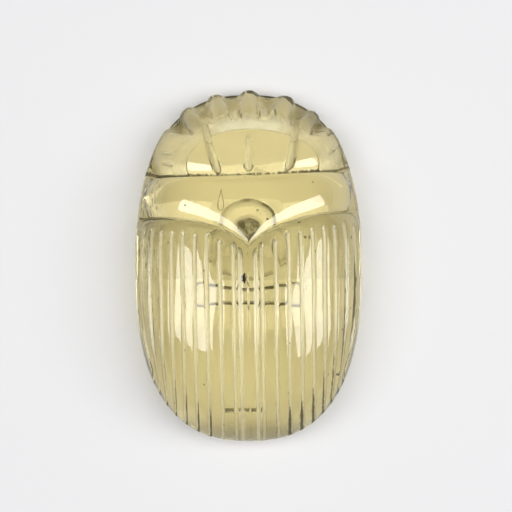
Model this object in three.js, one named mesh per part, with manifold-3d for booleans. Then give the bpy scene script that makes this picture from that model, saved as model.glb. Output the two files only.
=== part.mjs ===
// A scarab amulet: a dung beetle on an oval base, cut from one block of clear
// yellow-green stone. It lies on its flat underside, with its head to +Y.
// Millimetres, +Z up, origin on the table under the middle of its box.
import * as THREE from "three";
import { mergeVertices } from "three/addons/utils/BufferGeometryUtils.js";
import Module from "manifold-3d";

// The block
const LENGTH = 50; // from the tail to the tip of the middle tooth
const WIDTH = 32.3;
const HEIGHT = 18;
const BASE_THICKNESS = 2.6; // the flat oval plate under the beetle
const RIM_HEIGHT = 6; // lower edge of the wing cases, above the table
const HEAD_RIM_HEIGHT = 4.8; // lower edge of the toothed shield

// The outline and the dome, as powers of superellipses: 2 is an ellipse
const OUTLINE_POWER = 2.5;
const DOME_POWER = 1.9;
const HEAD_DOME_POWER = 1.7;
const HEAD_DOME_HEIGHT = 0.977 * HEIGHT;

// Where the carved lines cross the beetle, as shares of its length
const CASE_LINE = 0.12 * LENGTH; // front edge of the wing cases, on average
const CASE_SHOULDER = 0.148 * LENGTH; // the same edge, out at the shoulders
const CASE_NOTCH = 0.091 * LENGTH; // how far it dips to a point in the middle
const CASE_NOTCH_SPREAD = 0.098 * LENGTH;
const HEAD_LINE = 0.263 * LENGTH; // between thorax and head
const SKEW = 0.033; // both lines climb to the right by this slope
const SEAM_LEAN = 0.018; // the seam of the wing cases leans by this slope
const TAIL_PINCH = 7; // the power by which the outer grooves close in to the tail

// The cuts
const LINE_DEPTH = 0.4;
const LINE_HALF_WIDTH = 0.3;
const GROOVES = 9; // long grooves on each wing case
const GROOVE_PITCH = 0.0405 * LENGTH; // next to the seam
const GROOVE_CROWDING = 0.00072 * LENGTH; // the pitch shrinks outwards
const GROOVE_DEPTH = 0.35;
const GROOVE_HALF_WIDTH = 0.34;
const GROOVE_START = 0.9; // behind the front edge of the wing cases
const GROOVE_RUN_IN = 1.1;
const SEAM_SPACING = 1.1; // two finer lines beside the seam
const SEAM_HALF_WIDTH = 0.3;
const SEAM_DEPTH = 0.16;
const SHOULDER_DROP = 0.7; // the wing cases round down to their front edge
const SHOULDER_LENGTH = 1.3;
const COLLAR_SLOPE = 0.55; // the thorax slopes down to the same line, most of all at it
const COLLAR_WIDTH = [1.2, 5.2]; // in the middle and at the sides
const COLLAR_SPREAD = 4;
const COLLAR_POWER = 2.5;
const THORAX_DROP = 0.6; // the thorax rounds down to the head
const THORAX_LENGTH = 1.2;
const HEAD_DROP = 2; // and the head rounds down to the thorax
const HEAD_ROUND = 5;
const THORAX_INSET = 0.3; // the thorax is a little narrower than the wing cases

// The toothed shield, drawn round a point on the line behind the head
const FAN_CENTRE = new THREE.Vector2(0, HEAD_LINE);
const PLATE_LEFT = 0.188 * LENGTH; // the smooth head plate is half an oval, wider to the right
const PLATE_RIGHT = 0.22 * LENGTH;
const PLATE_LENGTH = 0.124 * LENGTH;
const PLATE_STEP = 0.3;
const TEETH = [-66, -45, -24.5, 0, 28, 48.5, 64]; // degrees from straight ahead
const MIDDLE_REACH = 0.6;
const TOOTH_REACH = [0.2, 0.35, 0.45, MIDDLE_REACH, 0.45, 0.3, 0.25]; // past the base plate
const SCALLOP_INSET = [0.7, 1.15, 1.2, 1.05, 1.15, 0.7]; // from the teeth to each hollow
const SCALLOP_DEPTH = 0.75; // how far the flutes behind the hollows are sunk
const SCALLOP_POWER = 1.8; // above 1 the tips of the teeth are rounded
const TOOTH_TIP = 0.06; // half of a blunt tip, as a share of the tooth spacing
const CHEEK_END = 90; // degrees
const SHIELD_END = 75; // degrees

// Wheel cuts from the line behind the head to the teeth, each with a round,
// deeper end at the back. Across the beetle at both ends, then how far forwards
const DROP_CUTS = [
  { across: [-0.092, -0.137], along: [0.272, 0.44] },
  { across: [0, 0], along: [0.278, 0.385] },
  { across: [0.121, 0.144], along: [0.28, 0.455] },
];
const DROP_HALF_WIDTH = 0.8;
const DROP_DEPTH = 1;
const DROP_ANGLE = 36.5; // where the outer two meet the rim, in degrees
const DROP_HALF_ANGLE = 2.2;

// The flank, from the rim down to the table
const CAP_SHARE = 0.965; // the top grid ends at this share of the outline
const RIM_START = 0.82; // from this share outwards the skin follows the teeth and nicks
const TAIL_TURN = [9, 15]; // behind the middle, the grooves turn down the flank here
const RIM_UNDERCUT = 0.35;
const NECK_INSET = 0.95;
const BASE_EDGE_ROUND = 0.3;
const NOTCH_DEPTH = 0.3; // nicks in the outline where the lines reach it
const NOTCH_HALF_WIDTH = 0.7;
const LEG_RELIEF = 0.7;
const LEG_HALF_WIDTH = 0.3; // as a share of the height of the neck
const LEGS = [
  // as shares of the length: where each leg starts and ends along the flank
  { from: 0.3, to: 0.14 },
  { from: 0.07, to: -0.11 },
  { from: -0.15, to: -0.37 },
];

// The hollows cut into the underside, seen through the stone
const SOCKET = { y: 0.061 * LENGTH, halfWidth: 4.2, halfLength: 5, depth: 0.6 };
const SOCKET_HOLE = { halfWidth: 2.25, depth: 3 };
const CHANNEL = { y: -0.076 * LENGTH, halfLength: 5.75, middleHalfWidth: 1, endHalfWidth: 1.9, depth: 0.6 };
const TAIL_SLOT = { x: -0.5, y: -0.356 * LENGTH, halfLength: 2.8, halfWidth: 0.22, depth: 0.6 };

// How finely the solid is cut
const WING_ROWS = 15;
const THORAX_ROWS = 5;
const PLATE_ROWS = 5;
const SHIELD_ROWS = 6;
const FLANK_STEPS = 2;
const ROUND_SEGMENTS = 28;

const halfWidth = WIDTH / 2;
const halfLength = (LENGTH - MIDDLE_REACH) / 2;
const baseCentre = -MIDDLE_REACH / 2;

const { smoothstep, lerp, radToDeg, degToRad, clamp } = THREE.MathUtils;
const bell = (distance, spread) => Math.exp(-((distance / spread) ** 2));
const hump = (t) => (Math.abs(t) < 1 ? (1 - t * t) ** 2 : 0);
const vee = (distance, reach) => Math.max(0, 1 - Math.abs(distance) / reach);

// 1 on the outline of the base, 0 at its centre
function ovalRadius(x, y) {
  const across = Math.abs(x / halfWidth) ** OUTLINE_POWER;
  const along = Math.abs((y - baseCentre) / halfLength) ** OUTLINE_POWER;
  return (across + along) ** (1 / OUTLINE_POWER);
}

// The outward direction of the outline, in plan
function outward(x, y) {
  const power = OUTLINE_POWER - 1;
  const across = (Math.sign(x) * (Math.abs(x) / halfWidth) ** power) / halfWidth;
  const fromCentre = y - baseCentre;
  const along = (Math.sign(fromCentre) * (Math.abs(fromCentre) / halfLength) ** power) / halfLength;
  return new THREE.Vector2(across, along).normalize();
}

// The width at y of the edge of the top grid, as a share of its full width
function widthShare(y) {
  const along = Math.abs((y - baseCentre) / (halfLength * CAP_SHARE)) ** OUTLINE_POWER;
  return Math.max(0, 1 - along) ** (1 / OUTLINE_POWER);
}

function caseLineAt(x) {
  return CASE_SHOULDER - CASE_NOTCH * Math.exp(-Math.abs(x) / CASE_NOTCH_SPREAD) + SKEW * x;
}

function headLineAt(x) {
  return HEAD_LINE + SKEW * x;
}

// The long cuts of the wing cases: the seam, its two companions and the grooves
const longCuts = [{ u: 0, reach: SEAM_HALF_WIDTH, depth: SEAM_DEPTH }];
for (const side of [-1, 1]) {
  longCuts.push({ u: side * SEAM_SPACING, reach: SEAM_HALF_WIDTH, depth: SEAM_DEPTH });
  for (let k = 1; k <= GROOVES; k++) {
    const u = side * (GROOVE_PITCH * k - GROOVE_CROWDING * k * k);
    longCuts.push({ u, reach: GROOVE_HALF_WIDTH, depth: GROOVE_DEPTH });
  }
}

// How far behind the centre a groove meets the outline, the shares of the full
// width and half length being 1. The share across is that of the groove.
function tailEnd(share) {
  const shareBelow1 = Math.min(share, 0.999);
  const pinched = shareBelow1 ** (TAIL_PINCH + 1);
  const width = (shareBelow1 - pinched) / (1 - pinched);
  return (1 - width ** OUTLINE_POWER) ** (1 / OUTLINE_POWER);
}

// Behind the head: u runs across and v along the beetle. Lines of equal v follow
// the carved lines, and lines of equal u are the grooves. Towards the tail the
// outer grooves close in with the outline, and towards the head they all do.
function bodyPlan(u, v) {
  const caseReach = v > CASE_LINE ? HEAD_LINE - CASE_LINE : 2 * CASE_LINE;
  const headShare = hump((v - HEAD_LINE) / (HEAD_LINE - CASE_LINE));
  const y = v
    + (caseLineAt(u) - CASE_LINE) * hump((v - CASE_LINE) / caseReach)
    + SKEW * u * headShare;
  const share = Math.abs(u) / (halfWidth * CAP_SHARE);
  const lean = SEAM_LEAN * (y + LENGTH / 10) * (1 - share ** 2);
  const x = u - lean * (1 - smoothstep(v, CASE_LINE, HEAD_LINE));
  if (y > baseCentre) return new THREE.Vector2(x * widthShare(y), y);
  const tailY = baseCentre + (y - baseCentre) * tailEnd(share);
  return new THREE.Vector2(x * (1 - (1 - widthShare(tailY)) * share ** TAIL_PINCH), tailY);
}

// Degrees from straight ahead, round the middle of the toothed shield
function fanAngle(x, y) {
  return radToDeg(Math.atan2(x - FAN_CENTRE.x, y - FAN_CENTRE.y));
}

// Straight out from a point along a ray to the outline, made smaller by a share
function reachOutline(from, ray, share) {
  let near = 0;
  let far = LENGTH;
  for (let i = 0; i < 30; i++) {
    const middle = (near + far) / 2;
    if (ovalRadius(from.x + ray.x * middle, from.y + ray.y * middle) < share) near = middle;
    else far = middle;
  }
  return from.clone().addScaledVector(ray, near);
}

// The place on the edge of the top grid at an angle of the toothed shield
function fanEdge(angle) {
  const ray = new THREE.Vector2(Math.sin(degToRad(angle)), Math.cos(degToRad(angle)));
  return reachOutline(FAN_CENTRE, ray, CAP_SHARE);
}

// How far the teeth reach at an angle, and the hollow between two of them
function scallop(angle) {
  const i = TEETH.findLastIndex((tooth) => tooth <= angle);
  if (i < 0 || i === TEETH.length - 1) {
    const last = i < 0 ? 0 : i;
    const fade = 1 - smoothstep(Math.abs(angle), Math.abs(TEETH[last]), CHEEK_END);
    return { hollow: 0, inset: 0, reach: TOOTH_REACH[last] * fade };
  }
  const along = (angle - TEETH[i]) / (TEETH[i + 1] - TEETH[i]);
  const between = clamp((along - TOOTH_TIP) / (1 - 2 * TOOTH_TIP), 0, 1);
  const hollow = Math.max(0, Math.sin(Math.PI * between)) ** SCALLOP_POWER;
  return { hollow, inset: SCALLOP_INSET[i], reach: lerp(TOOTH_REACH[i], TOOTH_REACH[i + 1], along) };
}

// How far the rim stands out from the outline of the base
function rimOffset(x, y, place) {
  if (place.ahead > 0) {
    const { hollow, inset, reach } = scallop(fanAngle(x, y));
    return reach - inset * hollow;
  }
  const thorax = smoothstep(-place.behind, 0, 1) * smoothstep(-place.ahead, 0, 1);
  const notch = bell(place.behind, NOTCH_HALF_WIDTH) + bell(place.ahead, NOTCH_HALF_WIDTH);
  return -THORAX_INSET * thorax - NOTCH_DEPTH * notch;
}

function rimHeight(y) {
  return lerp(RIM_HEIGHT, HEAD_RIM_HEIGHT, smoothstep(y, HEAD_LINE - 4, HEAD_LINE + 4));
}

// 1 on the edge of the smooth head plate
function plateRadius(x, y) {
  const across = x - FAN_CENTRE.x;
  return Math.hypot(across / (across < 0 ? PLATE_LEFT : PLATE_RIGHT), (y - FAN_CENTRE.y) / PLATE_LENGTH);
}

// How deep a wheel cut of the head goes at (x, y)
function dropCut({ across, along }, x, y) {
  const t = (y / LENGTH - along[0]) / (along[1] - along[0]);
  const middle = lerp(across[0], across[1], t) * LENGTH;
  const reach = DROP_HALF_WIDTH * lerp(1, 0.6, clamp(t, 0, 1));
  const ends = smoothstep(t, -0.06, 0.06) * (1 - smoothstep(t, 0.5, 1));
  return DROP_DEPTH * ends * vee(x - middle, reach);
}

// How deep the carving goes below the smooth dome. A place tells how far it is
// behind the front edge of the wing cases and how far ahead of the head line.
function carving(x, y, place) {
  const { u, behind, ahead } = place;
  let depth = LINE_DEPTH * (vee(behind, LINE_HALF_WIDTH) + vee(ahead, LINE_HALF_WIDTH));
  if (behind > 0) {
    depth += SHOULDER_DROP * Math.exp(-behind / SHOULDER_LENGTH);
    const run = smoothstep(behind, GROOVE_START, GROOVE_START + GROOVE_RUN_IN);
    for (const cut of longCuts) depth += cut.depth * run * vee(u - cut.u, cut.reach);
  } else if (ahead < 0) {
    const [inner, outer] = COLLAR_WIDTH;
    const width = lerp(outer, inner, Math.exp(-Math.abs(x) / COLLAR_SPREAD));
    const slope = clamp(1 + behind / width, 0, 1) ** COLLAR_POWER;
    depth += ((COLLAR_SLOPE * width) / COLLAR_POWER) * slope;
    depth += THORAX_DROP * Math.exp(ahead / THORAX_LENGTH);
  } else {
    const plate = plateRadius(x, y);
    depth += HEAD_DROP * clamp(1 - ahead / HEAD_ROUND, 0, 1) ** 3;
    depth += PLATE_STEP * smoothstep(plate, 0.98, 1.04);
    depth += SCALLOP_DEPTH * scallop(fanAngle(x, y)).hollow * smoothstep(plate, 1, 1.7);
    for (const cut of DROP_CUTS) depth += dropCut(cut, x, y);
  }
  return depth * (1 - smoothstep(ovalRadius(x, y), 0.985, 1));
}

// A point of the carved skin over the plan point (x, y)
function skin(x, y, place) {
  const radius = Math.min(ovalRadius(x, y), 1);
  const rim = rimHeight(y);
  const head = smoothstep(place.ahead, -0.2, 0.2);
  const power = lerp(DOME_POWER, HEAD_DOME_POWER, head);
  const rise = lerp(HEIGHT, HEAD_DOME_HEIGHT, head) - rim;
  const level = (1 - radius ** power) ** (1 / power);
  const out = outward(x, y);
  const slope = radius ** (power - 1) / halfWidth;
  const upright = level ** (power - 1) / rise;
  const normal = new THREE.Vector3(out.x * slope, out.y * slope, upright).normalize();
  const point = new THREE.Vector3(x, y, rim + rise * level);
  point.addScaledVector(normal, -carving(x, y, place));
  const offset = rimOffset(x, y, place) * smoothstep(radius, RIM_START, 1);
  point.x += out.x * offset;
  point.y += out.y * offset;
  return point;
}

// Columns: three for each long cut, so that its edges and its bottom are straight.
// The outer edges of the outermost two are the edges of the grid.
function columnStations() {
  const edge = halfWidth * CAP_SHARE;
  const stations = [-edge, edge];
  for (const cut of longCuts) {
    for (const u of [cut.u - cut.reach, cut.u, cut.u + cut.reach]) {
      if (Math.abs(u) < edge - cut.reach / 2) stations.push(u);
    }
  }
  return stations.sort((a, b) => a - b);
}

// The same columns on the head: where each crosses the line behind the head and
// at what angle it meets the rim, so that three columns follow each wheel cut
function headStations(count) {
  const side = (count - 1) / 2;
  const cutAt = Math.round(side * 0.4);
  const knotsOf = (sign, cut) => {
    const across = (Math.abs(cut.across[0]) * LENGTH) / widthShare(HEAD_LINE);
    const angleAt = (k) => DROP_ANGLE + k * DROP_HALF_ANGLE;
    const beside = (k) => ({ at: cutAt + k, u: across + k * DROP_HALF_WIDTH, angle: angleAt(k) });
    return [
      { at: 0, u: 0, angle: 0 },
      { at: 1, u: DROP_HALF_WIDTH, angle: DROP_HALF_ANGLE },
      beside(-1),
      beside(0),
      beside(1),
      { at: side, u: halfWidth * CAP_SHARE, angle: SHIELD_END },
    ].map(({ at, u, angle }) => ({ at: sign * at, u: sign * u, angle: sign * angle }));
  };
  const knots = [...knotsOf(-1, DROP_CUTS[0]).reverse(), ...knotsOf(1, DROP_CUTS[2]).slice(1)];
  return Array.from({ length: count }, (_, j) => {
    const at = j - side;
    const i = clamp(knots.findLastIndex((knot) => knot.at <= at), 0, knots.length - 2);
    const [a, b] = [knots[i], knots[i + 1]];
    const t = (at - a.at) / (b.at - a.at);
    return { u: lerp(a.u, b.u, t), angle: lerp(a.angle, b.angle, t) };
  });
}

function span(from, to, count) {
  return Array.from({ length: count }, (_, i) => from + ((to - from) * (i + 0.5)) / count);
}

// Rows of the body: closer together where a carved line crosses
function bodyRows() {
  const tail = baseCentre - halfLength * CAP_SHARE;
  const start = CASE_LINE - GROOVE_START;
  return [
    tail,
    ...span(tail, start - GROOVE_RUN_IN, WING_ROWS),
    start - GROOVE_RUN_IN,
    start,
    CASE_LINE - LINE_HALF_WIDTH,
    CASE_LINE,
    CASE_LINE + LINE_HALF_WIDTH,
    ...span(CASE_LINE + LINE_HALF_WIDTH, HEAD_LINE - THORAX_LENGTH, THORAX_ROWS),
    HEAD_LINE - THORAX_LENGTH,
    HEAD_LINE - LINE_HALF_WIDTH,
    HEAD_LINE,
  ];
}

// Rows of the head: a share of the way from the head line to the plate's edge,
// or from there to the rim
const headRows = [
  ...span(0, 1, PLATE_ROWS).map((plate) => ({ plate })),
  { plate: 1 },
  { rim: 0.06 },
  ...span(0.1, 1, SHIELD_ROWS).map((rim) => ({ rim })),
  { rim: 1 },
];

// A column of the head runs straight from the head line to the rim, except the
// outermost two, which follow the outline
function headPlan(station, row, outermost) {
  const from = bodyPlan(station.u, HEAD_LINE);
  const to = fanEdge(station.angle);
  let edge = 0.18;
  for (let t = edge; t < 1; t += 0.01) {
    if (plateRadius(lerp(from.x, to.x, t), lerp(from.y, to.y, t)) < 1) edge = t;
  }
  const t = row.plate === undefined ? lerp(edge, 1, row.rim) : edge * row.plate;
  if (outermost) return fanEdge(lerp(fanAngle(from.x, from.y), station.angle, t));
  return from.lerp(to, t);
}

function placeAt(plan, u) {
  return { u, behind: caseLineAt(plan.x) - plan.y, ahead: plan.y - headLineAt(plan.x) };
}

// How far a leg stands out of the neck under the rim: 0 between the legs
function legAt(y, height) {
  let relief = 0;
  for (const leg of LEGS) {
    const along = (y / LENGTH - leg.from) / (leg.to - leg.from);
    const middle = lerp(0.75, 0.3, along);
    const inside = smoothstep(along, -0.05, 0.08) * (1 - smoothstep(along, 0.92, 1.05));
    relief = Math.max(relief, inside * hump((height - middle) / LEG_HALF_WIDTH));
  }
  return relief;
}

// The point of the outline, made smaller by a share, beyond a point on the edge of
// the grid: along the flutes of the head, out at the sides, along the grooves at the tail
function onShare(edge, share) {
  const [tailStart, tailTurned] = TAIL_TURN;
  const across = edge.x * (1 - smoothstep(-edge.y, tailStart, tailTurned));
  const along = edge.y - clamp(edge.y, -tailStart, HEAD_LINE);
  const ray = new THREE.Vector2(across, along).normalize();
  return reachOutline(new THREE.Vector2(edge.x, edge.y), ray, share);
}

// The rings of the flank, each a function from a place on the edge to a point
function flankRings() {
  const rings = [];
  for (let i = 1; i <= FLANK_STEPS; i++) {
    const share = lerp(CAP_SHARE, 1, Math.sin((Math.PI / 2) * (i / FLANK_STEPS)));
    rings.push((edge) => {
      const plan = onShare(edge, share);
      return skin(plan.x, plan.y, edge.place);
    });
  }
  const below = (height, inset, follow, relief) => (edge) => {
    const { x, y } = onShare(edge, 1);
    const out = outward(x, y);
    const z = height(y);
    const leg = relief * legAt(y, (z - BASE_THICKNESS) / (rimHeight(y) - BASE_THICKNESS));
    const offset = follow * rimOffset(x, y, edge.place) - inset + leg;
    return new THREE.Vector3(x + out.x * offset, y + out.y * offset, z);
  };
  const neck = (share) => (y) => lerp(BASE_THICKNESS, rimHeight(y), share);
  rings.push(below(neck(0.86), RIM_UNDERCUT, 1, 0));
  rings.push(below(neck(0.6), NECK_INSET, 0.5, LEG_RELIEF));
  rings.push(below(neck(0.2), NECK_INSET, 0, LEG_RELIEF));
  rings.push(below(() => BASE_THICKNESS, BASE_EDGE_ROUND, 0, 0));
  rings.push(below(() => BASE_THICKNESS - BASE_EDGE_ROUND, 0, 0, 0));
  rings.push(below(() => BASE_EDGE_ROUND, 0, 0, 0));
  rings.push(below(() => 0, BASE_EDGE_ROUND, 0, 0));
  return rings;
}

// The beetle on its base as one closed mesh: a grid for the top, rings for the
// flank and one flat face for the underside
function scarabGeometry() {
  const columns = columnStations();
  const stations = headStations(columns.length);
  const plans = bodyRows().map((v) => columns.map((u, j) => {
    const towardsHead = smoothstep(v, CASE_LINE + LINE_HALF_WIDTH, HEAD_LINE);
    return bodyPlan(lerp(u, stations[j].u, towardsHead), v);
  }));
  for (const row of headRows) {
    plans.push(stations.map((station, j) => (
      headPlan(station, row, j === 0 || j === stations.length - 1)
    )));
  }
  const points = [];
  const faces = [];
  const quad = (a, b, c, d) => faces.push(a, b, c, a, c, d);
  const grid = plans.map((row) => row.map((plan, j) => {
    const place = placeAt(plan, columns[j]);
    points.push(skin(plan.x, plan.y, place));
    return { index: points.length - 1, x: plan.x, y: plan.y, place };
  }));
  for (let i = 0; i + 1 < grid.length; i++) {
    for (let j = 0; j + 1 < columns.length; j++) {
      quad(grid[i][j].index, grid[i][j + 1].index, grid[i + 1][j + 1].index, grid[i + 1][j].index);
    }
  }
  const edge = [
    ...grid[0],
    ...grid.slice(1, -1).map((row) => row.at(-1)),
    ...grid.at(-1).toReversed(),
    ...grid.slice(1, -1).map((row) => row[0]).toReversed(),
  ];
  let ring = edge.map((place) => place.index);
  for (const pointOf of flankRings()) {
    const next = edge.map((place) => points.push(pointOf(place)) - 1);
    for (let i = 0; i < ring.length; i++) {
      const j = (i + 1) % ring.length;
      quad(ring[i], next[i], next[j], ring[j]);
    }
    ring = next;
  }
  const outline = ring.map((index) => new THREE.Vector2(points[index].x, points[index].y));
  for (const [a, b, c] of THREE.ShapeUtils.triangulateShape(outline, [])) {
    faces.push(ring[a], ring[c], ring[b]);
  }
  const geometry = new THREE.BufferGeometry().setFromPoints(points);
  geometry.setIndex(faces);
  return geometry;
}

// A round hollow sunk into the underside: a shallow dish and the hole in it
function socketGeometry() {
  const dish = new THREE.EllipseCurve(0, 0, SOCKET.halfWidth, SOCKET.depth, 0, Math.PI / 2);
  const profile = [new THREE.Vector2(0, -1), new THREE.Vector2(SOCKET.halfWidth, -1)];
  const rim = SOCKET_HOLE.halfWidth;
  for (const point of dish.getPoints(5)) if (point.x > rim) profile.push(point);
  profile.push(new THREE.Vector2(rim, SOCKET.depth * Math.sqrt(1 - (rim / SOCKET.halfWidth) ** 2)));
  profile.push(new THREE.Vector2(rim * 0.85, SOCKET_HOLE.depth * 0.85));
  profile.push(new THREE.Vector2(rim * 0.5, SOCKET_HOLE.depth * 0.97));
  profile.push(new THREE.Vector2(0, SOCKET_HOLE.depth));
  return new THREE.LatheGeometry(profile, ROUND_SEGMENTS)
    .rotateX(Math.PI / 2)
    .scale(1, SOCKET.halfLength / SOCKET.halfWidth, 1)
    .translate(0, SOCKET.y, 0);
}

// A shallow channel across the underside, narrowest in the middle
function channelGeometry() {
  const shape = new THREE.Shape();
  const wide = CHANNEL.endHalfWidth;
  const bend = 2 * CHANNEL.middleHalfWidth - wide;
  shape.moveTo(-CHANNEL.halfLength, -wide);
  shape.quadraticCurveTo(0, -bend, CHANNEL.halfLength, -wide);
  shape.lineTo(CHANNEL.halfLength, wide);
  shape.quadraticCurveTo(0, bend, -CHANNEL.halfLength, wide);
  const cut = { depth: 1 + CHANNEL.depth, bevelEnabled: false, curveSegments: 10 };
  return new THREE.ExtrudeGeometry(shape, cut).translate(0, CHANNEL.y, -1);
}

function tailSlotGeometry() {
  return new THREE.BoxGeometry(2 * TAIL_SLOT.halfLength, 2 * TAIL_SLOT.halfWidth, 2 * TAIL_SLOT.depth)
    .translate(TAIL_SLOT.x, TAIL_SLOT.y, 0);
}

const wasm = await Module();
wasm.setup();

function solidFrom(geometry) {
  const bare = geometry.clone();
  bare.deleteAttribute("normal");
  bare.deleteAttribute("uv");
  const merged = mergeVertices(bare, 1e-4);
  return new wasm.Manifold(new wasm.Mesh({
    numProp: 3,
    vertProperties: merged.attributes.position.array,
    triVerts: new Uint32Array(merged.index.array),
  }));
}

function geometryFrom(solid) {
  const mesh = solid.getMesh();
  const geometry = new THREE.BufferGeometry();
  geometry.setAttribute("position", new THREE.BufferAttribute(mesh.vertProperties, 3));
  geometry.setIndex(new THREE.BufferAttribute(mesh.triVerts, 1));
  geometry.computeVertexNormals();
  return geometry;
}

const stone = new THREE.MeshStandardMaterial({ color: 0xdccd92, roughness: 0.08, metalness: 0 });
let solid = solidFrom(scarabGeometry());
for (const hollow of [socketGeometry(), channelGeometry(), tailSlotGeometry()]) {
  solid = solid.subtract(solidFrom(hollow));
}
const scarab = new THREE.Mesh(geometryFrom(solid), stone);
scarab.name = "scarab";

const amulet = new THREE.Group();
amulet.add(scarab);
export default amulet;
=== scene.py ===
# A carved scarab amulet of clear yellow-green stone, lying on its flat underside.
import math

import bpy
import numpy as np
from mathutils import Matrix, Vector
from mathutils.geometry import tessellate_polygon


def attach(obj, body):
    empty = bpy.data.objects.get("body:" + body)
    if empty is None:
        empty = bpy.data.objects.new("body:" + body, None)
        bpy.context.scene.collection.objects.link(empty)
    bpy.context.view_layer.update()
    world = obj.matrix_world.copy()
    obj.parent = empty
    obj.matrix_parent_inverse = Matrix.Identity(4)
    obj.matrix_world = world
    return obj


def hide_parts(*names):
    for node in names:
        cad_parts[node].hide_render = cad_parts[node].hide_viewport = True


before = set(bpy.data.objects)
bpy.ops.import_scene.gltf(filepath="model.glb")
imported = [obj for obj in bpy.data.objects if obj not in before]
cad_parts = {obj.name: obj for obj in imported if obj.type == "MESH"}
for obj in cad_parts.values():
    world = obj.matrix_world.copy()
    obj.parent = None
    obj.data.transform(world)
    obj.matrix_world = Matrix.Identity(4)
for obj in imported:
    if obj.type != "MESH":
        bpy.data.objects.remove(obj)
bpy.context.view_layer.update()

# The scarab and its oval base are one block of clear stone, sawn, ground to an
# oval dome and then cut with small wheels: the lines and grooves are left a
# little rough, and the rest is polished.

# Sizes in millimetres, as in the solid. The scene itself is in metres.
MM = 0.001
LENGTH = 50
WIDTH = 32.3
HEIGHT = 18
BASE_THICKNESS = 2.6
RIM_HEIGHT = 6
HEAD_RIM_HEIGHT = 4.8
OUTLINE_POWER = 2.5
DOME_POWER = 1.9
HEAD_DOME_POWER = 1.7
HEAD_DOME_HEIGHT = 0.977 * HEIGHT
CASE_LINE = 0.12 * LENGTH
CASE_SHOULDER = 0.148 * LENGTH
CASE_NOTCH = 0.091 * LENGTH
CASE_NOTCH_SPREAD = 0.098 * LENGTH
HEAD_LINE = 0.263 * LENGTH
SKEW = 0.033
SEAM_LEAN = 0.018
TAIL_PINCH = 7
TAIL_TURN = (9, 15)
MIDDLE_REACH = 0.6
CAP_SHARE = 0.965  # the grid of the top ends at this share of the outline

half_width = WIDTH / 2
half_length = (LENGTH - MIDDLE_REACH) / 2
base_centre = -MIDDLE_REACH / 2


def smoothstep(x, low, high):
    t = np.clip((x - low) / (high - low), 0, 1)
    return t * t * (3 - 2 * t)


def bell(distance, spread):
    return np.exp(-(distance / spread) ** 2)


def hump(t):
    return np.where(abs(t) < 1, (1 - np.minimum(abs(t), 1) ** 2) ** 2, 0)


def lerp(a, b, t):
    return a + (b - a) * t


def cut_profile(distance, reach):
    """A cut of a small wheel: steep at its lips and round at the bottom."""
    return np.clip(1 - (distance / reach) ** 2, 0, 1) ** 1.3


def oval_radius(x, y):
    """How far out a point is, the outline of the oval being 1."""
    across = abs(x / half_width) ** OUTLINE_POWER
    along = abs((y - base_centre) / half_length) ** OUTLINE_POWER
    return (across + along) ** (1 / OUTLINE_POWER)


def outward(x, y):
    power = OUTLINE_POWER - 1
    across = np.sign(x) * (abs(x) / half_width) ** power / half_width
    along = y - base_centre
    along = np.sign(along) * (abs(along) / half_length) ** power / half_length
    size = np.hypot(across, along) + 1e-12
    return across / size, along / size


def width_share(y):
    along = np.clip(abs((y - base_centre) / (half_length * CAP_SHARE)), 0, 1) ** OUTLINE_POWER
    return (1 - along) ** (1 / OUTLINE_POWER)


def reach_outline(x, y, ray_x, ray_y, share):
    """Straight out from points along rays to the outline, made smaller by a share."""
    near, far = np.zeros_like(x), np.full_like(x, LENGTH)
    for _ in range(30):
        middle = (near + far) / 2
        inside = oval_radius(x + ray_x * middle, y + ray_y * middle) < share
        near, far = np.where(inside, middle, near), np.where(inside, far, middle)
    return x + ray_x * near, y + ray_y * near


def case_line(x):
    """The front edge of the wing cases, with its pointed dip in the middle."""
    return CASE_SHOULDER - CASE_NOTCH * np.exp(-abs(x) / CASE_NOTCH_SPREAD) + SKEW * x


def head_line(x):
    return HEAD_LINE + SKEW * x


# The long cuts of the wing cases, each a place across, a half width and a depth:
# the fine seam, a cut on each side of it, and nine grooves on each wing case
SEAM_CUT = (0, 0.14, 0.12)
SEAM_SPACING = 1.1
SEAM_SIDE_HALF_WIDTH = 0.34
SEAM_SIDE_DEPTH = 0.16
GROOVES = 9
GROOVE_PITCH = 0.0405 * LENGTH
GROOVE_CROWDING = 0.00072 * LENGTH
GROOVE_HALF_WIDTH = 0.34
GROOVE_DEPTH = 0.3
long_cuts = [SEAM_CUT]
for side in (-1, 1):
    long_cuts.append((side * SEAM_SPACING, SEAM_SIDE_HALF_WIDTH, SEAM_SIDE_DEPTH))
    for k in range(1, GROOVES + 1):
        u = side * (GROOVE_PITCH * k - GROOVE_CROWDING * k * k)
        long_cuts.append((u, GROOVE_HALF_WIDTH, GROOVE_DEPTH))
long_cuts.sort()


def tail_end(share):
    """How far back a groove meets the outline, the half length being 1."""
    share = np.minimum(share, 0.999)
    pinched = share ** (TAIL_PINCH + 1)
    width = (share - pinched) / (1 - pinched)
    return (1 - width ** OUTLINE_POWER) ** (1 / OUTLINE_POWER)


def body_plan(u, v):
    """Where a column u and a row v of the grid lie, so that both run along the carving."""
    case_reach = np.where(v > CASE_LINE, HEAD_LINE - CASE_LINE, 2 * CASE_LINE)
    head_share = hump((v - HEAD_LINE) / (HEAD_LINE - CASE_LINE))
    y = v + (case_line(u) - CASE_LINE) * hump((v - CASE_LINE) / case_reach) + SKEW * u * head_share
    share = abs(u) / (half_width * CAP_SHARE)
    lean = SEAM_LEAN * (y + LENGTH / 10) * (1 - share ** 2)
    x = u - lean * (1 - smoothstep(v, CASE_LINE, HEAD_LINE))
    front = y > base_centre
    y = np.where(front, y, base_centre + (y - base_centre) * tail_end(share))
    pinch = 1 - (1 - width_share(y)) * np.where(front, 1, share ** TAIL_PINCH)
    return x * pinch, y


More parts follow.
